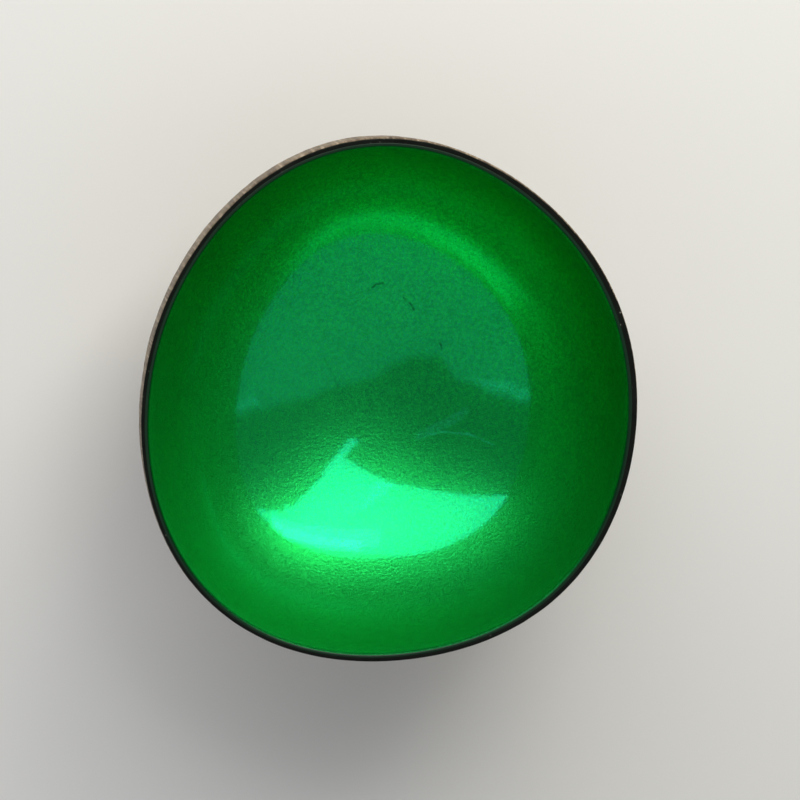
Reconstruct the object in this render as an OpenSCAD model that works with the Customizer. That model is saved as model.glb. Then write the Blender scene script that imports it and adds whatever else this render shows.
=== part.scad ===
// Coconut shell bowl, standing on its foot: +Z is up, and +Y runs along its longer width.
// Half of a coconut's hard shell carries three coats on its inside. A black lacquer ground
// goes over the rim too, metal leaf lies on the ground, and a translucent green lacquer
// seals the leaf. Each coat lies face to face on the one below it.

/* [Shell] */
// Mean width of the shell at its widest ring
shell_across = 136.6; // [115:0.2:165]
// Height of the bowl from its foot to the top of its rim
bowl_h = 62; // [52:0.5:74]
// Height of the rim above the widest ring
rim_rise = 6; // [4:0.5:12]
// How far the rim is drawn in from the widest ring
rim_draw_in = 0.4; // [0.3:0.1:1.5]
// Mean thickness of the shell at its rim
rim_wall = 2.1; // [1.9:0.1:3.6]
// Thickness of the shell at its base, before the foot is sanded
base_wall = 4.6; // [4.2:0.1:6]
// How much the shell is thicker on one side and thinner on the other, as a share
thick_share = 0.18; // [0:0.02:0.24]
// Direction of the thick side, in degrees
thick_dir = 30; // [-180:10:180]
// Mean width of the flat foot
foot_across = 36; // [26:1:42]
// Height of the three soft ridges that run down the outside
ridge_h = 0.5; // [0.2:0.1:1]

/* [Rim edges] */
// Radius of the rim's outer edge
outer_edge_r = 0.6; // [0.4:0.1:1]
// Radius of the rim's inner edge
inner_edge_r = 0.9; // [0.6:0.1:1.4]

/* [Coats] */
// Thickness of the black lacquer ground
ground_t = 0.2; // [0.1:0.05:0.4]
// Thickness of the metal leaf
leaf_t = 0.03; // [0.02:0.01:0.1]
// Thickness of the green lacquer
lacquer_t = 0.25; // [0.15:0.05:0.5]

/* [Natural outline] */
// How far the rim swells to one side, as a share of the mean radius
swell_share = 0.022; // [0:0.002:0.04]
// Direction of the swell, in degrees
swell_dir = -95; // [-180:5:180]
// How oval the outline is
oval_share = 0.027; // [0.02:0.001:0.05]
// Direction of the oval's long axis, in degrees
oval_dir = 85; // [60:1:100]
// How strongly the three natural lobes show
lobe_share = 0.018; // [0:0.001:0.03]
// Direction of the first lobe and its ridge, in degrees
lobe_dir = -22; // [-60:1:60]
// How strongly the outline squares off between its lobes
corner_share = 0.005; // [0:0.001:0.015]
// Direction of the first of the four soft corners, in degrees
corner_dir = 38; // [0:1:90]
// How strongly the outline wavers between its corners
waver_share = 0.005; // [0:0.001:0.01]
// Direction of the first waver, in degrees
waver_dir = 21; // [0:1:72]

/* [Hidden] */

// Facets round the outline, and rings up each wall and round each rim edge
around = 60;
wall_rings = 10;
inner_edge_rings = 4;
outer_edge_rings = 3;
// Rings of the inner edge that the leaf and the green lacquer run on to
leaf_edge_rings = 2;
lacquer_edge_rings = 3;
// What is left of the green lacquer's thickness where it ends
lacquer_end_share = 0.3;
// Rings of the outer edge that the black ground wraps
ground_edge_rings = 2;
// Half width of a ridge, in degrees round the outline
ridge_spread = 7;
lobes = 3;
// The most that each rim edge may take of the thinnest wall
outer_limit_share = 0.4;
inner_limit_share = 0.56;

// The shell's outside is an ellipse in height, with the widest ring as its equator.
shell_r = shell_across / 2;
shell_top = bowl_h - ground_t;
widest_z = shell_top - rim_rise;
rim_lat = acos(1 - rim_draw_in / shell_r);
foot_lat = -acos(foot_across / shell_across);
upper_axis = rim_rise / sin(rim_lat);
lower_axis = -widest_z / sin(foot_lat);
rim_tilt = atan(tan(rim_lat) * shell_r / upper_axis);
// The rim's edges are rounded as far as the thinnest wall allows
thin_rim = rim_wall * (1 - thick_share);
outer_r = min(outer_edge_r, outer_limit_share * thin_rim);
inner_r = min(inner_edge_r, inner_limit_share * thin_rim);
// The walls' own rings stop this far below the top, where the rim edges take over
edge_run = 2 * inner_r;
wall_end_lat = asin((rim_rise - edge_run) / upper_axis);

function axis_at(lat) = lat < 0 ? lower_axis : upper_axis;
function height_at(lat) = widest_z + axis_at(lat) * sin(lat);
function unit(v) = v / norm(v);
// Outward direction of the wall, as a radius and a height
function outward(lat) = unit([axis_at(lat) * cos(lat), shell_r * sin(lat)]);
// The shell thickens from the widest ring down to the base, and is thicker on one side
function wall_at(lat, dir) = (rim_wall + (base_wall - rim_wall) * pow(sin(min(lat, 0)), 2))
    * (1 + thick_share * cos(lat) * cos(dir - thick_dir));

// Natural outline, as a factor on the mean radius
function outline(dir) = 1
    + swell_share * cos(dir - swell_dir)
    + oval_share * cos(2 * (dir - oval_dir))
    + lobe_share * cos(lobes * (dir - lobe_dir))
    + corner_share * cos(4 * (dir - corner_dir))
    + waver_share * cos(5 * (dir - waver_dir));

// Soft ridges over the lobes, which fade out at the foot and at the rim
function turn_between(a, b) = abs((a - b + 540) % 360 - 180);
function ridge_at(dir) = ridge_h * max([for (i = [0:lobes - 1])
    exp(-pow(turn_between(dir, lobe_dir + i * 360 / lobes + 360) / ridge_spread, 2))]);
function ridge_fade(lat) = 1 - pow(sin(lat) / sin(lat < 0 ? foot_lat : rim_lat), 2);

// Centre of the widest ring's box, which is moved to the origin
dirs = [for (i = [0:around - 1]) i * 360 / around];
widest_x = [for (d = dirs) (shell_r * outline(d) + ridge_at(d)) * cos(d)];
widest_y = [for (d = dirs) (shell_r * outline(d) + ridge_at(d)) * sin(d)];
mid_x = (min(widest_x) + max(widest_x)) / 2;
mid_y = (min(widest_y) + max(widest_y)) / 2;
function place(r, z, dir) = [r * cos(dir) - mid_x, r * sin(dir) - mid_y, z];

// One ring of the shell's outside
function outside_ring(lat) = [for (d = dirs)
    place(shell_r * cos(lat) * outline(d) + ridge_at(d) * max(ridge_fade(lat), 0),
          height_at(lat), d)];

// Stations from the inner base up the inside, over the rim's inner edge and down its outer
// edge. Each is a zone and an angle in it.
on_wall = 0;
on_inner_edge = 1;
on_outer_edge = 2;
stations = concat(
    [for (i = [1:wall_rings]) [on_wall, -90 + (wall_end_lat + 90) * i / wall_rings]],
    [for (i = [0:inner_edge_rings])
        [on_inner_edge, 180 + rim_tilt - (90 + rim_tilt) * i / inner_edge_rings]],
    [for (i = [0:outer_edge_rings])
        [on_outer_edge, 90 - (90 - rim_tilt) * i / outer_edge_rings]]);
inner_edge_start = wall_rings;
outer_edge_start = inner_edge_start + inner_edge_rings + 1;
leaf_end = inner_edge_start + leaf_edge_rings;
lacquer_end = inner_edge_start + lacquer_edge_rings;
ground_end = outer_edge_start + ground_edge_rings;

// Radii of the centres that the rim's two edges turn about
function rim_r(dir) = shell_r * cos(rim_lat) * outline(dir);
function inner_centre_r(dir) =
    rim_r(dir) - (wall_at(rim_lat, dir) - inner_r) / cos(rim_tilt) + inner_r * tan(rim_tilt);
function outer_centre_r(dir) =
    rim_r(dir) - outer_r / cos(rim_tilt) + outer_r * tan(rim_tilt);

// Radius and height of a station, at a depth of coating above the bare shell
function wall_point(lat, coat, dir) =
    [shell_r * cos(lat) * outline(dir), height_at(lat)]
    - (wall_at(lat, dir) + coat) * outward(lat);
function edge_point(centre_r, edge_r, angle, coat) =
    [centre_r, shell_top - edge_r] + (edge_r + coat) * [cos(angle), sin(angle)];
function station_point(s, coat, dir) =
    s[0] == on_wall ? wall_point(s[1], coat, dir)
    : s[0] == on_inner_edge ? edge_point(inner_centre_r(dir), inner_r, s[1], coat)
    : edge_point(outer_centre_r(dir), outer_r, s[1], coat);
function station_ring(s, coat) = [for (d = dirs)
    let (p = station_point(s, coat, d)) place(p[0], p[1], d)];
function coat_rings(last, coat) = [for (i = [0:last]) station_ring(stations[i], coat)];
function base_point(coat) = place(0, height_at(-90) + base_wall + coat, 0);

// Closed skin between two lists of rings. Both lists run outward from a pole point, and
// a strip joins their last rings. Quads are cut the same way on both sides, so that two
// coats that share rings also share every facet.
module skin(under_pole, under, over, over_pole) {
    under_last = len(under) - 1;
    over_last = len(over) - 1;
    points = concat([under_pole], [for (r = under) each r], [for (r = over) each r], [over_pole]);
    top = len(points) - 1;
    function lower(k, j) = 1 + k * around + j % around;
    function upper(k, j) = 1 + (under_last + 1 + k) * around + j % around;
    faces = concat(
        [for (j = [0:around - 1]) [0, lower(0, j), lower(0, j + 1)]],
        [for (k = [0:under_last - 1], j = [0:around - 1]) each [
            [lower(k, j), lower(k + 1, j), lower(k + 1, j + 1)],
            [lower(k, j), lower(k + 1, j + 1), lower(k, j + 1)]]],
        [for (j = [0:around - 1]) each [
            [lower(under_last, j), upper(over_last, j), lower(under_last, j + 1)],
            [lower(under_last, j + 1), upper(over_last, j), upper(over_last, j + 1)]]],
        [for (k = [0:over_last - 1], j = [0:around - 1]) each [
            [upper(k, j), upper(k + 1, j + 1), upper(k + 1, j)],
            [upper(k, j), upper(k, j + 1), upper(k + 1, j + 1)]]],
        [for (j = [0:around - 1]) [top, upper(0, j + 1), upper(0, j)]]);
    polyhedron(points, faces);
}

module coconut_shell() {
    outside_lats = concat([foot_lat - (90 + foot_lat) / 2],
        [for (i = [0:wall_rings]) foot_lat + (wall_end_lat - foot_lat) * i / wall_rings]);
    color([0.52, 0.4, 0.28])
    difference() {
        skin(place(0, height_at(-90), 0),
             [for (lat = outside_lats) outside_ring(lat)],
             coat_rings(len(stations) - 1, 0),
             base_point(0));
        // The foot is sanded flat
        translate([-shell_across, -shell_across, -bowl_h])
            cube([2 * shell_across, 2 * shell_across, bowl_h]);
    }
}

module black_ground() {
    color([0.03, 0.035, 0.03])
    skin(base_point(0), coat_rings(ground_end, 0),
         coat_rings(ground_end, ground_t), base_point(ground_t));
}

module metal_leaf() {
    color([0.78, 0.8, 0.76])
    skin(base_point(ground_t), coat_rings(leaf_end, ground_t),
         coat_rings(leaf_end, ground_t + leaf_t), base_point(ground_t + leaf_t));
}

// The green lacquer covers the leaf, steps down over the leaf's edge and thins out to its
// end on the ground
module green_lacquer() {
    leaf_top = ground_t + leaf_t;
    past_leaf = [for (i = [leaf_end:lacquer_end]) station_ring(stations[i], ground_t)];
    thinning = [for (i = [1:lacquer_edge_rings])
        station_ring(stations[inner_edge_start + i],
                     leaf_top + lacquer_t * (1 - (1 - lacquer_end_share) * i / lacquer_edge_rings))];
    color([0.02, 0.5, 0.16])
    skin(base_point(leaf_top),
         concat(coat_rings(leaf_end, leaf_top), past_leaf),
         concat(coat_rings(inner_edge_start, leaf_top + lacquer_t), thinning),
         base_point(leaf_top + lacquer_t));
}

coconut_shell();
black_ground();
metal_leaf();
green_lacquer();
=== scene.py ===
"""Looks of the coconut shell bowl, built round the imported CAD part.

Every piece is a smooth closed skin, swept round the same natural outline and up the same
walls as its CAD solid, with the surface relief and the finish that the solids leave out.
All lengths are in metres.
"""
import math

import bpy
import numpy as np
from mathutils import Matrix, Vector


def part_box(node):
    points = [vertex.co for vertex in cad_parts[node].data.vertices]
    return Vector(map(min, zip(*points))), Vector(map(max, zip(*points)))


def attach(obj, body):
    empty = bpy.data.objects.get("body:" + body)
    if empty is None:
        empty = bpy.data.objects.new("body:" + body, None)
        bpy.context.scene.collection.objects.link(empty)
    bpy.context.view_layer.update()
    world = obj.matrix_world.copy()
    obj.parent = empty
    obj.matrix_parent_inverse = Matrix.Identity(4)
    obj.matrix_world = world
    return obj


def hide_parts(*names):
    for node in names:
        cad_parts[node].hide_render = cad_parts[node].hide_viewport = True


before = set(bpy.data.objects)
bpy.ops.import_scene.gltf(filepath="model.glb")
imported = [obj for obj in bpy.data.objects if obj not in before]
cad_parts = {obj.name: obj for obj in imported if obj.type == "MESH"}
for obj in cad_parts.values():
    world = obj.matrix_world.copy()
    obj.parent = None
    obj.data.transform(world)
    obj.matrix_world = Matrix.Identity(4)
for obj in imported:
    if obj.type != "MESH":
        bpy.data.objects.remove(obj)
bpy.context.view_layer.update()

MM = 0.001

# Driving sizes of the bowl, as in the CAD part
BOWL_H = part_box("black_ground")[1][2]
SHELL_R = 68.3 * MM
RIM_RISE = 6 * MM
RIM_DRAW_IN = 0.4 * MM
RIM_WALL = 2.1 * MM
BASE_WALL = 4.6 * MM
THICK_SHARE = 0.18
THICK_DIR = math.radians(30)
FOOT_R = 18 * MM
RIDGE_H = 0.5 * MM
OUTER_EDGE_R = 0.6 * MM
INNER_EDGE_R = 0.9 * MM
GROUND_T = 0.2 * MM
LEAF_T = 0.03 * MM
LACQUER_T = 0.25 * MM

# Natural outline: share of the mean radius, number of waves, and direction in degrees
OUTLINE_WAVES = ((0.022, 1, -95), (0.027, 2, 85), (0.018, 3, -22), (0.005, 4, 38),
                 (0.005, 5, 21))
LOBES = 3
LOBE_DIR = math.radians(-22)
RIDGE_SPREAD = math.radians(7)
# The sanded ridges grow softer from this height up to the widest ring
RIDGE_SOFT_LAT = math.radians(-45)

# Angles and axes that follow from the sizes
SHELL_TOP = BOWL_H - GROUND_T
WIDEST_Z = SHELL_TOP - RIM_RISE
RIM_LAT = math.acos(1 - RIM_DRAW_IN / SHELL_R)
FOOT_LAT = -math.acos(FOOT_R / SHELL_R)
UPPER_AXIS = RIM_RISE / math.sin(RIM_LAT)
LOWER_AXIS = -WIDEST_Z / math.sin(FOOT_LAT)
RIM_TILT = math.atan(math.tan(RIM_LAT) * SHELL_R / UPPER_AXIS)
WALL_END_LAT = math.asin((RIM_RISE - 2 * INNER_EDGE_R) / UPPER_AXIS)
BASE_LAT = -math.pi / 2

# Where the leaf and the green lacquer end, as angles round the rim's inner edge
LEAF_END = math.radians(122)
LACQUER_END = math.radians(95)
# Where the black ends round the outer edge on average, how much further it wraps on one
# side than on the other, and in which direction it wraps least
GROUND_END = math.radians(39)
GROUND_END_SWING = math.radians(22)
GROUND_SHORT_DIR = math.radians(70)
# What the ground loses of its thickness on top of the rim, as a share, and how thick the
# green lacquer is where it ends
GROUND_THIN_SHARE = 0.2
LACQUER_LAST_T = 0.02 * MM

# Points round each skin
AROUND = 480
LEAF_AROUND = 240

# Relief of the shell's outside: how deep sanding took it on average, how uneven that is,
# and how deep the grooves and the fibres go
SANDED = 0.21 * MM
UNEVEN_H = 0.1 * MM
UNEVEN_LENGTH = 26 * MM
GROOVE_H = 0.05 * MM
GROOVE_LENGTH = 9 * MM
# The grooves run up the wall: along Z they change this much more slowly
GROOVE_Z_SHARE = 0.3
FIBRE_H = 0.012 * MM
# The relief starts past the foot and ends below the rim, each over this angle
FOOT_FADE = math.radians(8)
RIM_FADE = math.radians(2)
# What the ridges lose of their height at the widest ring, as a share
RIDGE_SOFT_SHARE = 0.85

# Brushed border of the ground: how far it wavers round the edge, and how its thickness does
BORDER_WAVER = math.radians(7)
BORDER_LENGTH = 7 * MM
SWELL_SHARE = 0.2
SWELL_LENGTH = 4 * MM
BORDER_THIN_SHARE = 0.7

# Relief on top of the lacquer, which starts at this angle from the middle of the base
LACQUER_RELIEF_H = 0.0015 * MM
LACQUER_RELIEF_LENGTH = 5 * MM
LACQUER_RELIEF_FADE = math.radians(6)


def outline(dirs):
    """Factor on the mean radius in each direction."""
    return 1 + sum(s * np.cos(n * (dirs - math.radians(d))) for s, n, d in OUTLINE_WAVES)


def ridges(dirs):
    """Height of the three soft ridges in each direction."""
    tops = [LOBE_DIR + i * math.tau / LOBES for i in range(LOBES)]
    turns = [np.abs((dirs - t + 3 * math.pi) % math.tau - math.pi) for t in tops]
    return RIDGE_H * np.max([np.exp(-(t / RIDGE_SPREAD) ** 2) for t in turns], axis=0)


def ridge_fade(lat):
    """Share of the ridges' height, from 1 at the widest ring to 0 at the foot and the rim."""
    end = FOOT_LAT if lat < 0 else RIM_LAT
    return max(1 - (math.sin(lat) / math.sin(end)) ** 2, 0)


def axis_at(lat):
    return LOWER_AXIS if lat < 0 else UPPER_AXIS


def outward(lat):
    """Outward direction of the wall, as a radius and a height."""
    v = np.array([axis_at(lat) * math.cos(lat), SHELL_R * math.sin(lat)])
    return v / np.linalg.norm(v)


def wall_at(lat, dirs):
    """Thickness of the shell, which grows towards the base and is uneven round the nut."""
    mean = RIM_WALL + (BASE_WALL - RIM_WALL) * math.sin(min(lat, 0)) ** 2
    return mean * (1 + THICK_SHARE * math.cos(lat) * np.cos(dirs - THICK_DIR))


CAD_DIRS = np.radians(np.arange(0, 360, 6))
WIDEST = (SHELL_R * outline(CAD_DIRS) + ridges(CAD_DIRS)) * np.array(
    [np.cos(CAD_DIRS), np.sin(CAD_DIRS)])
MID = (WIDEST.min(axis=1) + WIDEST.max(axis=1)) / 2


def place(r, z, dirs):
    """Ring of points in the part's frame from radii and heights."""
    z = np.broadcast_to(z, dirs.shape)
    return np.stack([r * np.cos(dirs) - MID[0], r * np.sin(dirs) - MID[1], z], axis=1)


def wall_ring(lat, coat, dirs):
    """Ring on the inside wall, at a depth of coating above the bare shell."""
    n = outward(lat)
    depth = wall_at(lat, dirs) + coat
    r = SHELL_R * math.cos(lat) * outline(dirs) - depth * n[0]
    return place(r, WIDEST_Z + axis_at(lat) * math.sin(lat) - depth * n[1], dirs)


def inner_edge_ring(angle, coat, dirs):
    rim = SHELL_R * math.cos(RIM_LAT) * outline(dirs)
    centre = (rim - (wall_at(RIM_LAT, dirs) - INNER_EDGE_R) / math.cos(RIM_TILT)
              + INNER_EDGE_R * math.tan(RIM_TILT))
    reach = INNER_EDGE_R + coat
    return place(centre + reach * np.cos(angle),
                 SHELL_TOP - INNER_EDGE_R + reach * np.sin(angle), dirs)


def outer_edge_ring(angle, coat, dirs):
    rim = SHELL_R * math.cos(RIM_LAT) * outline(dirs)
    centre = rim - OUTER_EDGE_R / math.cos(RIM_TILT) + OUTER_EDGE_R * math.tan(RIM_TILT)
    reach = OUTER_EDGE_R + coat
    return place(centre + reach * np.cos(angle),
                 SHELL_TOP - OUTER_EDGE_R + reach * np.sin(angle), dirs)


def base_point(coat):
    z = WIDEST_Z - LOWER_AXIS + BASE_WALL + coat
    return np.array([-MID[0], -MID[1], z])


def wall_lats(rings):
    """Rings up the wall, closer together round the base."""
    steps = (np.arange(rings) + 1) / rings
    return BASE_LAT + (WALL_END_LAT - BASE_LAT) * steps ** 1.25


def inside_rings(rings, coat, dirs):
    return [wall_ring(lat, coat, dirs) for lat in wall_lats(rings)]


def inner_edge_angles(last, steps):
    return np.linspace(math.pi + RIM_TILT, last, steps + 1)


def outer_edge_angles(last, steps):
    return np.linspace(math.pi / 2, last, steps + 1)


def edge_share(angle, last=math.pi / 2):
    """How far an angle is round the rim's inner edge, from 0 at the wall to 1 at the last."""
    return (math.pi + RIM_TILT - angle) / (math.pi + RIM_TILT - last)


def ground_on_edge(angle):
    """Thickness of the ground round the inner edge, which thins towards the top."""
    return GROUND_T * (1 - GROUND_THIN_SHARE * edge_share(angle) ** 2)


def make_skin(name, under_pole, under, over, over_pole):
    """Closed mesh between two lists of rings that run outward from a pole point each."""
    count = len(under[0])
    points = np.vstack([[under_pole], *under, *over, [over_pole]])
    j = np.arange(count)
    k = (j + 1) % count
    start_over = 1 + len(under) * count
    top = len(points) - 1
    quads = []
    for i in range(len(under) - 1):
        a = 1 + i * count
        quads.append(np.stack([a + j, a + k, a + count + k, a + count + j], axis=1))
    rim_under = 1 + (len(under) - 1) * count
    rim_over = start_over + (len(over) - 1) * count
    quads.append(np.stack([rim_under + j, rim_under + k, rim_over + k, rim_over + j], axis=1))
    for i in range(len(over) - 1):
        a = start_over + i * count
        quads.append(np.stack([a + count + j, a + count + k, a + k, a + j], axis=1))
    under_fan = np.stack([np.zeros(count, int), 1 + k, 1 + j], axis=1)
    over_fan = np.stack([np.full(count, top), start_over + j, start_over + k], axis=1)
    faces = np.vstack(quads).tolist() + under_fan.tolist() + over_fan.tolist()
    mesh = bpy.data.meshes.new(name)
    mesh.from_pydata(points.tolist(), [], faces)
    mesh.polygons.foreach_set("use_smooth", [True] * len(mesh.polygons))
    mesh.validate()
    obj = bpy.data.objects.new(name, mesh)
    bpy.context.scene.collection.objects.link(obj)
    return obj


def spread(seed, length, waves, points):
    """Smooth seeded noise from about -1 to 1 at each point, with the given wave length."""
    rng = np.random.default_rng(seed)
    total = np.zeros(len(points))
    for _ in range(waves):
        direction = rng.normal(size=3)
        direction /= np.linalg.norm(direction)
        pitch = length * rng.uniform(0.6, 1.6)
        total += np.sin(points @ direction * math.tau / pitch + rng.uniform(0, math.tau))
    return total / math.sqrt(waves / 2) / 2


# Pieces

def build_shell():
    """The coconut shell, with its ridges, fibre grooves and hand-sanded unevenness."""
    dirs = np.linspace(0, math.tau, AROUND, endpoint=False)
    rings = []
    fibre_rng = np.random.default_rng(5)
    fibre = fibre_rng.normal(size=AROUND)
    fibre = (fibre + np.roll(fibre, 1)) / 2
    for lat in np.linspace(FOOT_LAT, WALL_END_LAT, 131):
        base_r = SHELL_R * math.cos(lat) * outline(dirs)
        z = WIDEST_Z + axis_at(lat) * math.sin(lat)
        flat = place(base_r, z, dirs)
        drawn_out = flat * np.array([1, 1, GROOVE_Z_SHARE])
        uneven = spread(3, UNEVEN_LENGTH, 14, flat) * UNEVEN_H - SANDED
        groove = -np.abs(spread(4, GROOVE_LENGTH, 10, drawn_out)) * GROOVE_H
        fade = min((lat - FOOT_LAT) / FOOT_FADE, 1) * min((WALL_END_LAT - lat) / RIM_FADE, 1)
        relief = (uneven + groove + fibre * FIBRE_H) * fade
        up_wall = min(max((lat - RIDGE_SOFT_LAT) / -RIDGE_SOFT_LAT, 0), 1)
        ridge = ridges(dirs) * ridge_fade(lat) * (1 - RIDGE_SOFT_SHARE * up_wall)
        rings.append(place(base_r + ridge + relief, z, dirs))
    over = inside_rings(24, 0, dirs)
    over += [inner_edge_ring(a, 0, dirs) for a in inner_edge_angles(math.pi / 2, 8)]
    over += [outer_edge_ring(a, 0, dirs) for a in outer_edge_angles(RIM_TILT, 8)]
    foot = [place(FOOT_R * outline(dirs) * s, 0.0, dirs) for s in np.linspace(0.2, 0.98, 5)]
    return make_skin("shell_body", [-MID[0], -MID[1], 0], foot + rings, over, base_point(0))


def build_ground():
    """The black lacquer on the inside and over the rim, with its brushed outer border."""
    dirs = np.linspace(0, math.tau, AROUND, endpoint=False)
    on_rim = inner_edge_ring(math.pi / 2, 0, dirs)
    border = GROUND_END + GROUND_END_SWING * np.cos(dirs - GROUND_SHORT_DIR)
    border += spread(11, BORDER_LENGTH, 12, on_rim) * BORDER_WAVER
    swell = np.minimum(1 + SWELL_SHARE * spread(12, SWELL_LENGTH, 14, on_rim), 1)
    top_t = ground_on_edge(math.pi / 2)

    def rings(coat):
        out = inside_rings(14, coat, dirs)
        for a in inner_edge_angles(math.pi / 2, 10):
            out.append(inner_edge_ring(a, ground_on_edge(a) * bool(coat), dirs))
        for s in np.linspace(0, 1, 9):
            angle = math.pi / 2 + (border - math.pi / 2) * s
            blend = 1 + (swell - 1) * math.sin(math.pi * min(s, 0.5))
            blend *= 1 - BORDER_THIN_SHARE * s ** 4
            out.append(outer_edge_ring(angle, top_t * bool(coat) * blend, dirs))
        return out

    return make_skin("black_rim_coat", base_point(0), rings(0), rings(GROUND_T),
                     base_point(GROUND_T))


def build_leaf():
    """The metal leaf under the lacquer, whose crinkles are in its material."""
    dirs = np.linspace(0, math.tau, LEAF_AROUND, endpoint=False)
    angles = inner_edge_angles(LEAF_END, 5)
    under = inside_rings(60, GROUND_T, dirs)
    under += [inner_edge_ring(a, ground_on_edge(a), dirs) for a in angles]
    over = inside_rings(60, GROUND_T + LEAF_T, dirs)
    over += [inner_edge_ring(a, ground_on_edge(a) + LEAF_T, dirs) for a in angles]
    return make_skin("metal_leaf_skin", base_point(GROUND_T), under, over,
                     base_point(GROUND_T + LEAF_T))


def build_lacquer():
    """The green lacquer, whose smooth top follows the crinkles of the leaf a little."""
    dirs = np.linspace(0, math.tau, AROUND, endpoint=False)
    leaf_top = GROUND_T + LEAF_T
    under = inside_rings(24, leaf_top, dirs)
    under += [inner_edge_ring(a, ground_on_edge(a) + LEAF_T, dirs)
              for a in inner_edge_angles(LEAF_END, 5)]
    past = np.linspace(LEAF_END, LACQUER_END, 4)
    under += [inner_edge_ring(a, ground_on_edge(a), dirs) for a in past]
    top = leaf_top + LACQUER_T
    over = []
    for lat in wall_lats(150):
        flat = wall_ring(lat, top, dirs)
        relief = spread(21, LACQUER_RELIEF_LENGTH, 16, flat) * LACQUER_RELIEF_H
        relief *= min((lat - BASE_LAT) / LACQUER_RELIEF_FADE, 1)
        flat[:, 2] += relief
        over.append(flat)
    for a in inner_edge_angles(LACQUER_END, 14):
        s = edge_share(a, LACQUER_END)
        coat = ground_on_edge(a) + (LEAF_T + LACQUER_T) * (1 - s) + LACQUER_LAST_T * s
        over.append(inner_edge_ring(a, coat, dirs))
    return make_skin("green_lacquer_coat", base_point(leaf_top), under, over, base_point(top))


# Materials

# Colours of the shell: its broad bands, its fibres, its pores and its sanded foot
BAND_DARK = (0.09, 0.058, 0.034)
BAND_PALE = (0.21, 0.155, 0.1)
FIBRE_PALE = (0.42, 0.34, 0.25)
FIBRE_DARK = (0.04, 0.025, 0.016)
MOTTLE = (0.29, 0.24, 0.18)
PORE = (0.034, 0.022, 0.015)
SANDED_DARK = (0.09, 0.055, 0.032)
SANDED_PALE = (0.27, 0.2, 0.13)

# Colours of the black ground, of its chips, and of the green lacquer that lies on it
BLACK_DEEP = (0.003, 0.004, 0.003)
BLACK_PALE = (0.009, 0.011, 0.009)
CHIP = (0.15, 0.15, 0.13)
EDGE_DEEP = (0.003, 0.016, 0.007)
EDGE_PALE = (0.005, 0.03, 0.012)

# Colours of the bare leaf, the second of them painted shade in its creases
LEAF_PALE = (0.8, 0.81, 0.78)
LEAF_CREASE_SHADE = (0.5, 0.5, 0.46)

# Colours of the lacquered leaf: of its glowing parts, of the parts past the leaf's end and
# of its mirroring flakes
GLOW_DEEP = (0.01, 0.58, 0.056)
GLOW_PALE = (0.013, 0.69, 0.08)
# The next colour is painted shade for the creases and near the rim, and also the leaf's grain
GLOW_SHADE_AND_GRAIN = (0.004, 0.24, 0.025)
PAST_LEAF = (0.003, 0.05, 0.015)
FLAKE = (0.003, 0.43, 0.225)
# The next colour is painted shade, for the flakes in the creases of the crinkle
FLAKE_CREASE_SHADE = (0.004, 0.24, 0.1)
# Painted sheen: the lacquer is painted a little bluer towards this side, on the wall that
# faces the softboxes, for the pale haze of their light on it
SHEEN_SIDE = (-0.3, -0.95, 0)
GLOW_SHEEN = (0.018, 0.66, 0.14)
STROKE = (0.002, 0.13, 0.03)
SCRATCH = (0.03, 0.95, 0.45)
# Roughness of the glow from its dullest to its brightest parts, and of the flakes at the
# base and up the wall
GLOW_DULL = 0.7
GLOW_BRIGHT = 0.33
FLAKE_BASE = 0.05
FLAKE_WALL = 0.2
SCRATCH_ROUGH = 0.3

# Small marks in the lacquer, from one end to the other, in millimetres
DARK_STROKES = ((0.9, 23.9, 3.2, 25.5), (3.2, 25.5, 5.4, 26.2), (10.9, 21.9, 12.7, 20.3),
                (12.7, 20.3, 14.2, 18.1), (21.0, 9.7, 21.6, 6.9))
FAINT_STROKES = ((-4.5, 19.7, -1.5, 21.2), (-10.9, 4.3, -7.9, -0.7), (-7.9, -0.7, -6.9, -3.8),
                 (11.4, -48.2, 13.4, -50.6))
PALE_SCRATCHES = ((15.3, -17.8, 22.3, -16.0), (22.3, -16.0, 29.0, -16.5),
                  (29.0, -16.5, 35.4, -19.3))
PALE_SMEARS = ((15.4, -17.3, 22.4, -14.1), (22.4, -14.1, 27.8, -10.4))
# How far a mark strays from its line, from side to side
MARK_SWAY = 1.6 * MM


def start_material(name):
    material = bpy.data.materials.new(name)
    material.use_nodes = True
    tree = material.node_tree
    tree.nodes.clear()
    output = tree.nodes.new("ShaderNodeOutputMaterial")
    shader = tree.nodes.new("ShaderNodeBsdfPrincipled")
    tree.links.new(shader.outputs["BSDF"], output.inputs["Surface"])
    return material, tree, shader


def add_node(tree, kind, inputs=None, **settings):
    """New node with its settings, and its inputs either linked or set."""
    node = tree.nodes.new(kind)
    for key, value in settings.items():
        setattr(node, key, value)
    for key, value in (inputs or {}).items():
        if isinstance(value, bpy.types.NodeSocket):
            tree.links.new(value, node.inputs[key])
        else:
            node.inputs[key].default_value = value
    return node


def position(tree):
    return add_node(tree, "ShaderNodeTexCoord").outputs["Object"]


def noise(tree, vector, scale, detail=2.0, roughness=0.5, distortion=0.0):
    return add_node(tree, "ShaderNodeTexNoise", {
        "Vector": vector, "Scale": scale, "Detail": detail, "Roughness": roughness,
        "Distortion": distortion}).outputs["Fac"]


def math_node(tree, operation, a, b=0.0):
    return add_node(tree, "ShaderNodeMath", {0: a, 1: b}, operation=operation).outputs[0]


def vector_math(tree, operation, a, b, output="Vector"):
    return add_node(tree, "ShaderNodeVectorMath", {0: a, 1: b},
                    operation=operation).outputs[output]


def height_of(tree, vector):
    return add_node(tree, "ShaderNodeSeparateXYZ", {0: vector}).outputs["Z"]


def cells(tree, vector, scale, feature="F1"):
    return add_node(tree, "ShaderNodeTexVoronoi", {"Vector": vector, "Scale": scale},
                    feature=feature).outputs["Distance"]


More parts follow.
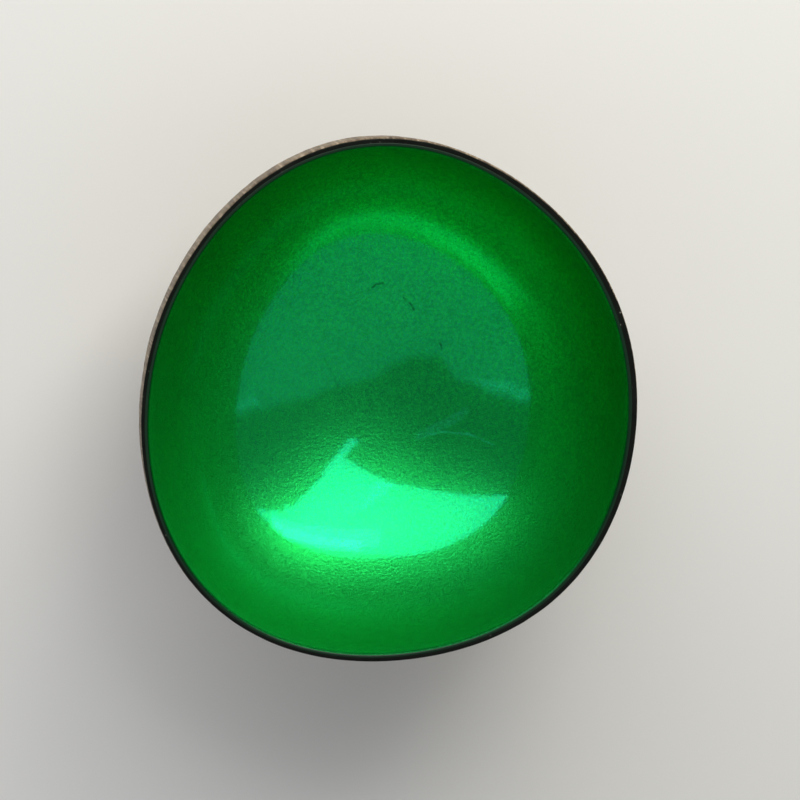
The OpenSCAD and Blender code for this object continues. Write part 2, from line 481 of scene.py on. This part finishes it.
def warped(tree, vector, scale, reach):
    """The vector, moved by noise of this scale by up to the reach along each axis."""
    wander = add_node(tree, "ShaderNodeTexNoise", {"Vector": vector, "Scale": scale,
                                                   "Detail": 2.0}).outputs["Color"]
    shift = vector_math(tree, "MULTIPLY", wander, (reach,) * 3)
    return vector_math(tree, "ADD", vector, shift)


def remap(tree, value, low, high, to_low=0.0, to_high=1.0):
    return add_node(tree, "ShaderNodeMapRange", {
        "Value": value, "From Min": low, "From Max": high, "To Min": to_low,
        "To Max": to_high}).outputs[0]


def blend_colour(tree, factor, a, b):
    node = add_node(tree, "ShaderNodeMix", {"Factor": factor}, data_type="RGBA")
    for socket, value in ((node.inputs[6], a), (node.inputs[7], b)):
        if isinstance(value, bpy.types.NodeSocket):
            tree.links.new(value, socket)
        else:
            socket.default_value = (*value, 1)
    return node.outputs[2]


def bump(tree, height, distance, strength=1.0, normal=None):
    inputs = {"Height": height, "Distance": distance, "Strength": strength}
    if normal is not None:
        inputs["Normal"] = normal
    return add_node(tree, "ShaderNodeBump", inputs).outputs["Normal"]


def around_axis(tree, turns, height_scale):
    """Coordinates that are constant along the shell's meridians, for streaks."""
    here = position(tree)
    flat = vector_math(tree, "MULTIPLY", here, (1, 1, 0))
    ring = add_node(tree, "ShaderNodeVectorMath", {0: flat}, operation="NORMALIZE").outputs[0]
    wide = vector_math(tree, "MULTIPLY", ring, (turns,) * 3)
    tall = vector_math(tree, "MULTIPLY", here, (0, 0, height_scale))
    return vector_math(tree, "ADD", wide, tall)


def shell_material():
    material, tree, shader = start_material("oiled_coconut_shell")
    here = position(tree)
    fine = noise(tree, around_axis(tree, 90, 70), 1, 3, 0.6, 0.4)
    broad = noise(tree, around_axis(tree, 22, 28), 1, 3, 0.55, 0.3)
    mottle = noise(tree, here, 110, 4, 0.6)
    colour = blend_colour(tree, remap(tree, broad, 0.32, 0.68), BAND_DARK, BAND_PALE)
    colour = blend_colour(tree, remap(tree, fine, 0.5, 0.72), colour, FIBRE_PALE)
    colour = blend_colour(tree, remap(tree, fine, 0.45, 0.25), colour, FIBRE_DARK)
    colour = blend_colour(tree, remap(tree, mottle, 0.62, 0.8), colour, MOTTLE)
    specks = cells(tree, here, 420)
    pored = remap(tree, noise(tree, here, 75, 2), 0.5, 0.62)
    pores = math_node(tree, "MULTIPLY", remap(tree, specks, 0.17, 0.09), pored)
    colour = blend_colour(tree, pores, colour, PORE)
    # The sanded foot cuts across the fibres and shows them as small mottled spots
    ends = noise(tree, here, 700, 3, 0.6)
    sanded = blend_colour(tree, remap(tree, ends, 0.38, 0.62), SANDED_DARK, SANDED_PALE)
    foot = remap(tree, height_of(tree, here), 0.35 * MM, 0.1 * MM)
    colour = blend_colour(tree, foot, colour, sanded)
    tree.links.new(colour, shader.inputs["Base Color"])
    tree.links.new(remap(tree, fine, 0.2, 0.8, 0.42, 0.58), shader.inputs["Roughness"])
    shader.inputs["Specular IOR Level"].default_value = 0.2
    shader.inputs["Coat Weight"].default_value = 0.06
    shader.inputs["Coat Roughness"].default_value = 0.22
    normal = bump(tree, fine, 0.12 * MM, 0.7)
    normal = bump(tree, noise(tree, here, 900, 3, 0.6), 0.03 * MM, 0.6, normal)
    tree.links.new(normal, shader.inputs["Normal"])
    return material


def ground_material():
    material, tree, shader = start_material("black_lacquer")
    here = position(tree)
    flecks = cells(tree, here, 700)
    patch = noise(tree, here, 160, 3, 0.6)
    chips = math_node(tree, "MULTIPLY", remap(tree, flecks, 0.2, 0.12),
                      remap(tree, patch, 0.54, 0.64))
    colour = blend_colour(tree, patch, BLACK_DEEP, BLACK_PALE)
    colour = blend_colour(tree, chips, colour, CHIP)
    tree.links.new(colour, shader.inputs["Base Color"])
    tree.links.new(remap(tree, patch, 0.3, 0.7, 0.25, 0.45), shader.inputs["Roughness"])
    shader.inputs["Specular IOR Level"].default_value = 0.07
    normal = bump(tree, noise(tree, here, 1100, 3, 0.6), 0.05 * MM, 0.8)
    tree.links.new(normal, shader.inputs["Normal"])
    return material


def crinkle(tree):
    """Height of the crinkled leaf: warped facets with sharp creases between them."""
    bent = warped(tree, position(tree), 500, 1.2 * MM)
    facets = cells(tree, bent, 1150)
    folds = noise(tree, bent, 820, 4, 0.62, 0.6)
    folds = math_node(tree, "ABSOLUTE", math_node(tree, "SUBTRACT", folds, 0.5))
    return math_node(tree, "ADD", math_node(tree, "MULTIPLY", facets, 0.35), folds)


def marks(tree, here, lines, width):
    """Mask of thin marks on the inside, each along a line seen from above."""
    wander = add_node(tree, "ShaderNodeTexNoise", {"Vector": here, "Scale": 350.0,
                                                   "Detail": 2.0}).outputs["Color"]
    sway = vector_math(tree, "SUBTRACT", wander, (0.5,) * 3)
    sway = vector_math(tree, "MULTIPLY", sway, (MARK_SWAY, MARK_SWAY, 0))
    flat = vector_math(tree, "MULTIPLY", here, (1, 1, 0))
    flat = vector_math(tree, "ADD", flat, sway)
    nearest = 1.0
    for line in lines:
        x0, y0, x1, y1 = (v * MM for v in line)
        length = math.hypot(x1 - x0, y1 - y0)
        along = ((x1 - x0) / length, (y1 - y0) / length, 0)
        start = vector_math(tree, "SUBTRACT", flat, (x0, y0, 0))
        reach = vector_math(tree, "DOT_PRODUCT", start, along, "Value")
        reach = remap(tree, reach, 0, length, 0, length)
        foot = add_node(tree, "ShaderNodeVectorMath", {0: along, "Scale": reach},
                        operation="SCALE").outputs[0]
        gap = vector_math(tree, "DISTANCE", start, foot, "Value")
        nearest = math_node(tree, "MINIMUM", gap, nearest)
    return remap(tree, nearest, width, 0.4 * width)


def glow_colour(tree, here, height, up_wall):
    """Colour of the rough lacquered leaf: its leathery grain and net of lines, painted shade in
    its creases and near the rim, and a painted bluish sheen on the side facing the softboxes.
    """
    cloud = noise(tree, here, 45, 4, 0.6)
    glow = blend_colour(tree, remap(tree, cloud, 0.3, 0.7), GLOW_DEEP, GLOW_PALE)
    # Painted shade: darker where the crinkle sinks into creases
    glow = blend_colour(tree, remap(tree, height, 0.12, 0.02), glow, GLOW_SHADE_AND_GRAIN)
    net = cells(tree, warped(tree, here, 600, 2.2 * MM), 420, "DISTANCE_TO_EDGE")
    broken = remap(tree, noise(tree, here, 260, 2), 0.42, 0.6, 0, 0.45)
    net = math_node(tree, "MULTIPLY", remap(tree, net, 0.1, 0.01), broken)
    glow = blend_colour(tree, net, glow, GLOW_SHADE_AND_GRAIN)
    leather = remap(tree, noise(tree, here, 1000, 3, 0.75), 0.42, 0.58, 0.5, 0)
    glow = blend_colour(tree, leather, glow, GLOW_SHADE_AND_GRAIN)
    # Painted sheen: bluer on the wall that faces the softboxes
    sheen_reach = vector_math(tree, "DOT_PRODUCT", here, SHEEN_SIDE, "Value")
    glow = blend_colour(tree, remap(tree, sheen_reach, -20 * MM, 62 * MM), glow, GLOW_SHEEN)
    # Painted shade: darker up the wall towards the rim
    return blend_colour(tree, remap(tree, up_wall, 36 * MM, 60 * MM, 0, 0.3), glow, GLOW_SHADE_AND_GRAIN)


def lacquer_material():
    """Smooth flakes of leaf that mirror the room, between rough ones that glow."""
    material, tree, shader = start_material("green_lacquer_on_leaf")
    here = position(tree)
    up_wall = height_of(tree, here)
    height = crinkle(tree)
    grain = noise(tree, here, 11000, 0)
    flakes = remap(tree, grain, 0.54, 0.6)
    glow = glow_colour(tree, here, height, up_wall)
    # The leaf ends on the rim's rounding, and the black shows through the thin lacquer there
    last = remap(tree, up_wall, BOWL_H - 1.1 * MM, BOWL_H - 0.2 * MM)
    glow = blend_colour(tree, last, glow, PAST_LEAF)
    flakes = math_node(tree, "MULTIPLY", flakes, remap(tree, last, 0.6, 0, 0, 1))
    # Painted shade: the flakes darken where the crinkle sinks into creases
    flake = blend_colour(tree, remap(tree, height, 0.13, 0.02, 0, 0.8), FLAKE, FLAKE_CREASE_SHADE)
    colour = blend_colour(tree, flakes, glow, flake)
    worn = remap(tree, noise(tree, here, 900, 2), 0.4, 0.6, 0.25, 1)
    strokes = math_node(tree, "MULTIPLY", marks(tree, here, DARK_STROKES, 0.4 * MM), 0.8)
    faint = math_node(tree, "MULTIPLY", marks(tree, here, FAINT_STROKES, 0.5 * MM), 0.3)
    strokes = math_node(tree, "MULTIPLY", math_node(tree, "MAXIMUM", strokes, faint), worn)
    colour = blend_colour(tree, strokes, colour, STROKE)
    scratches = math_node(tree, "MULTIPLY", marks(tree, here, PALE_SCRATCHES, 0.45 * MM), 0.45)
    smear = math_node(tree, "MULTIPLY", marks(tree, here, PALE_SMEARS, 1.6 * MM), 0.3)
    scratches = math_node(tree, "MULTIPLY", math_node(tree, "MAXIMUM", scratches, smear), worn)
    colour = blend_colour(tree, scratches, colour, SCRATCH)
    tree.links.new(colour, shader.inputs["Base Color"])
    shader.inputs["Metallic"].default_value = 1.0
    flake_rough = remap(tree, up_wall, 22 * MM, 32 * MM, FLAKE_BASE, FLAKE_WALL)
    glow_rough = remap(tree, grain, 0.31, 0.43, GLOW_DULL, GLOW_BRIGHT)
    rough = remap(tree, flakes, 0, 1, glow_rough, flake_rough)
    rough = remap(tree, scratches, 0, 1, rough, SCRATCH_ROUGH)
    tree.links.new(rough, shader.inputs["Roughness"])
    shader.inputs["Coat Weight"].default_value = 0.04
    shader.inputs["Coat Roughness"].default_value = 0.03
    relief = remap(tree, flakes, 0, 1, 0.7, 0.05)
    tree.links.new(bump(tree, height, 0.16 * MM, relief), shader.inputs["Normal"])
    return material


def lacquer_edge_material():
    material, tree, shader = start_material("green_lacquer_on_black")
    here = position(tree)
    cloud = noise(tree, here, 300, 3, 0.6)
    colour = blend_colour(tree, cloud, EDGE_DEEP, EDGE_PALE)
    tree.links.new(colour, shader.inputs["Base Color"])
    shader.inputs["Roughness"].default_value = 0.25
    shader.inputs["Specular IOR Level"].default_value = 0.25
    normal = bump(tree, noise(tree, here, 1200, 2), 0.02 * MM, 0.6)
    tree.links.new(normal, shader.inputs["Normal"])
    return material


def leaf_material():
    material, tree, shader = start_material("metal_leaf")
    height = crinkle(tree)
    # Painted shade: darker where the crinkle sinks into creases
    colour = blend_colour(tree, remap(tree, height, 0.08, 0.0), LEAF_PALE, LEAF_CREASE_SHADE)
    tree.links.new(colour, shader.inputs["Base Color"])
    shader.inputs["Metallic"].default_value = 1.0
    shader.inputs["Roughness"].default_value = 0.3
    tree.links.new(bump(tree, height, 0.14 * MM, 0.8), shader.inputs["Normal"])
    return material


def dress(obj, node, slot, *materials):
    for material in materials:
        obj.data.materials.append(material)
    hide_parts(node)
    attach(obj, "root")


def mark_lacquer_edge(obj):
    """The lacquer's faces past the leaf get the second material, green over black."""
    mesh = obj.data
    centres = np.empty(len(mesh.polygons) * 3)
    mesh.polygons.foreach_get("center", centres)
    centres = centres.reshape(-1, 3)
    past_z = SHELL_TOP - INNER_EDGE_R + (INNER_EDGE_R + GROUND_T) * math.sin(LEAF_END)
    index = (centres[:, 2] > past_z).astype(int)
    mesh.polygons.foreach_set("material_index", index.tolist())
    mesh.update()


# Light, floor and camera

# Half the floor's width
FLOOR_REACH = 3.0


def add_floor():
    mesh = bpy.data.meshes.new("floor")
    turns = ((-1, -1), (1, -1), (1, 1), (-1, 1))
    corners = [(x * FLOOR_REACH, y * FLOOR_REACH, 0) for x, y in turns]
    mesh.from_pydata(corners, [], [(0, 1, 2, 3)])
    floor = bpy.data.objects.new("floor", mesh)
    bpy.context.scene.collection.objects.link(floor)
    material, tree, shader = start_material("pale_floor")
    shader.inputs["Base Color"].default_value = (0.8, 0.79, 0.775, 1)
    shader.inputs["Roughness"].default_value = 0.9
    mesh.materials.append(material)


def placed(place_at, x, y, z):
    """Matrix that puts an object at a place with its axes along the given directions."""
    return Matrix.Translation(place_at) @ Matrix((x, y, z)).transposed().to_4x4()


def toward(polar, azimuth):
    """Unit direction at polar degrees from +Z, turned azimuth degrees from +Y towards +X."""
    p = math.radians(polar)
    a = math.radians(azimuth)
    return Vector((math.sin(p) * math.sin(a), math.sin(p) * math.cos(a), math.cos(p)))


# The softboxes hang in one plane above the bowl's +Y side and face the bowl. Places in it
# are metres to the left and up from the plane's centre, as seen from the bowl.
PANEL_DIRECTION = (50, 5)
PANEL_DISTANCE = 1.0
WHITE = (1, 1, 1)
WARM = (1, 0.95, 0.5)
# Each one's name, upper corner, turn in degrees, width, height and radiance, and for some
# how far it hangs in front of the plane, and its colour
SOFTBOXES = (
    ("large_softbox", (-0.195, 0.53), -36, 0.37, 0.6, 3.3),
    ("side_softbox", (0.012, 0.348), -15.1, 1.6, 0.625, 2.8),
    ("low_softbox", (-0.62, 0.06), 0, 0.56, 0.315, 2.8),
    ("left_softbox", (-0.8, -0.045), 15, 0.45, 0.19, 3.0),
    ("lower_softbox", (-0.76, -0.09), 3, 0.8, 0.17, 3.2, 0.01, WARM),
    ("lowest_softbox", (-0.7, -0.13), -2, 0.66, 0.13, 4.0, 0.02, WARM),
    ("sill_softbox", (-0.8, -0.25), 0, 1.7, 0.15, 1.5),
    ("strip_softbox", (-0.168, 0.7), -27, 0.06, 0.36, 3.4),
    ("tip_softbox", (-1.01, -0.1), 12, 0.3, 0.12, 2.4),
)


def add_softbox(name, corner, spin, width, height, radiance, forward=0.0, colour=WHITE):
    """Rectangular lamp from its upper corner, turned by spin degrees in the panels' plane."""
    lamp = bpy.data.lights.new(name, "AREA")
    lamp.color = colour
    lamp.shape = "RECTANGLE"
    lamp.size = width
    lamp.size_y = height
    lamp.energy = radiance * math.pi * width * height
    obj = bpy.data.objects.new(name, lamp)
    facing = toward(*PANEL_DIRECTION)
    left = Vector((0, 0, 1)).cross(facing).normalized()
    up = facing.cross(left)
    turn = math.radians(spin)
    along = left * math.cos(turn) + up * math.sin(turn)
    down = left * math.sin(turn) - up * math.cos(turn)
    centre = Vector((0, 0, BOWL_H / 2)) + facing * (PANEL_DISTANCE - forward)
    centre += left * corner[0] + up * corner[1] + along * width / 2 + down * height / 2
    obj.matrix_world = placed(centre, along, -down, facing)
    obj.visible_camera = False
    bpy.context.scene.collection.objects.link(obj)


# Radiance of the world on the two sides of its soft edge, and how soft that edge is
WORLD_NEAR = 0.54
WORLD_FAR = 0.17
EDGE_SOFT = 0.025
# What is left of it near the horizon, as a share
WORLD_LOW = 0.5
# The edge's Y at its peak, and from which X to which it rises by how much
EDGE_PEAK = -0.25
EDGE_SLOPES = ((-0.41, -0.51, 0.09), (-0.41, -0.89, 0.125),
               (-0.21, 0.09, 0.09), (-0.21, 0.52, 0.115))
# From which X to which a paler wedge widens, how wide it gets, and how much paler it is
EDGE_WEDGES = ((-0.5, -0.85, 0.1), (0.74, 0.8, 0.06))
WEDGE_LIFT = 0.9


def set_world():
    """Even studio light, brighter towards -Y than towards +Y."""
    world = bpy.data.worlds.new("studio")
    bpy.context.scene.world = world
    world.use_nodes = True
    tree = world.node_tree
    tree.nodes.clear()
    output = tree.nodes.new("ShaderNodeOutputWorld")
    direction = add_node(tree, "ShaderNodeTexCoord").outputs["Generated"]
    split = add_node(tree, "ShaderNodeSeparateXYZ", {0: direction})
    x = split.outputs["X"]
    wave = math_node(tree, "SUBTRACT", noise(tree, direction, 5, 2), 0.5)
    edge = math_node(tree, "ADD", math_node(tree, "MULTIPLY", wave, 0.1), EDGE_PEAK)
    for start, end, rise in EDGE_SLOPES:
        edge = math_node(tree, "ADD", edge, remap(tree, x, start, end, 0, rise))
    past = math_node(tree, "SUBTRACT", split.outputs["Y"], edge)
    level = remap(tree, past, -EDGE_SOFT, EDGE_SOFT, WORLD_NEAR, WORLD_FAR)
    low = remap(tree, split.outputs["Z"], 0.12, 0.42, WORLD_LOW, 1)
    level = math_node(tree, "MULTIPLY", level, low)
    # Two paler wedges along the edge, far out on either side
    wedges = 0.0
    for start, end, width in EDGE_WEDGES:
        reach = math_node(tree, "ADD", past, remap(tree, x, start, end, 0, width))
        wedges = math_node(tree, "MAXIMUM", remap(tree, reach, 0, 0.02), wedges)
    lift = math_node(tree, "ADD", math_node(tree, "MULTIPLY", wedges, WEDGE_LIFT), 1)
    bright = remap(tree, past, EDGE_SOFT, -EDGE_SOFT)
    level = math_node(tree, "MULTIPLY", level, remap(tree, bright, 0, 1, 1, lift))
    shade = add_node(tree, "ShaderNodeBackground", {"Color": (0.96, 0.98, 1, 1),
                                                    "Strength": level}).outputs[0]
    pale = add_node(tree, "ShaderNodeBackground", {"Color": (0.93, 0.93, 0.93, 1),
                                                   "Strength": 1.0}).outputs[0]
    seen = add_node(tree, "ShaderNodeLightPath").outputs["Is Camera Ray"]
    mix = add_node(tree, "ShaderNodeMixShader", {0: seen, 1: shade, 2: pale}).outputs[0]
    tree.links.new(mix, output.inputs["Surface"])


CAMERA_DISTANCE = 0.9
CAMERA_TILT = 11.0
CAMERA_SIDE = -46.0
CAMERA_LENS = 154.0
CAMERA_SHIFT = (0.0110, 0.0024)


def add_camera():
    data = bpy.data.cameras.new("camera")
    data.lens = CAMERA_LENS
    data.sensor_width = 36
    data.clip_start = 0.01
    camera = bpy.data.objects.new("camera", data)
    target = Vector((-MID[0], -MID[1], BOWL_H))
    direction = toward(CAMERA_TILT, CAMERA_SIDE)
    up = Vector((0, 1, 0))
    x = up.cross(direction).normalized()
    y = direction.cross(x)
    camera.matrix_world = placed(target + direction * CAMERA_DISTANCE, x, y, direction)
    data.shift_x, data.shift_y = CAMERA_SHIFT
    bpy.context.scene.collection.objects.link(camera)
    bpy.context.scene.camera = camera


add_camera()
set_world()
add_floor()
for softbox in SOFTBOXES:
    add_softbox(*softbox)

shell = build_shell()
dress(shell, "coconut_shell", "shell", shell_material())
ground = build_ground()
dress(ground, "black_ground", "black_lacquer", ground_material())
leaf = build_leaf()
dress(leaf, "metal_leaf", "leaf", leaf_material())
lacquer = build_lacquer()
dress(lacquer, "green_lacquer", "green_lacquer", lacquer_material(), lacquer_edge_material())
mark_lacquer_edge(lacquer)

bpy.context.scene.view_settings.view_transform = "Standard"
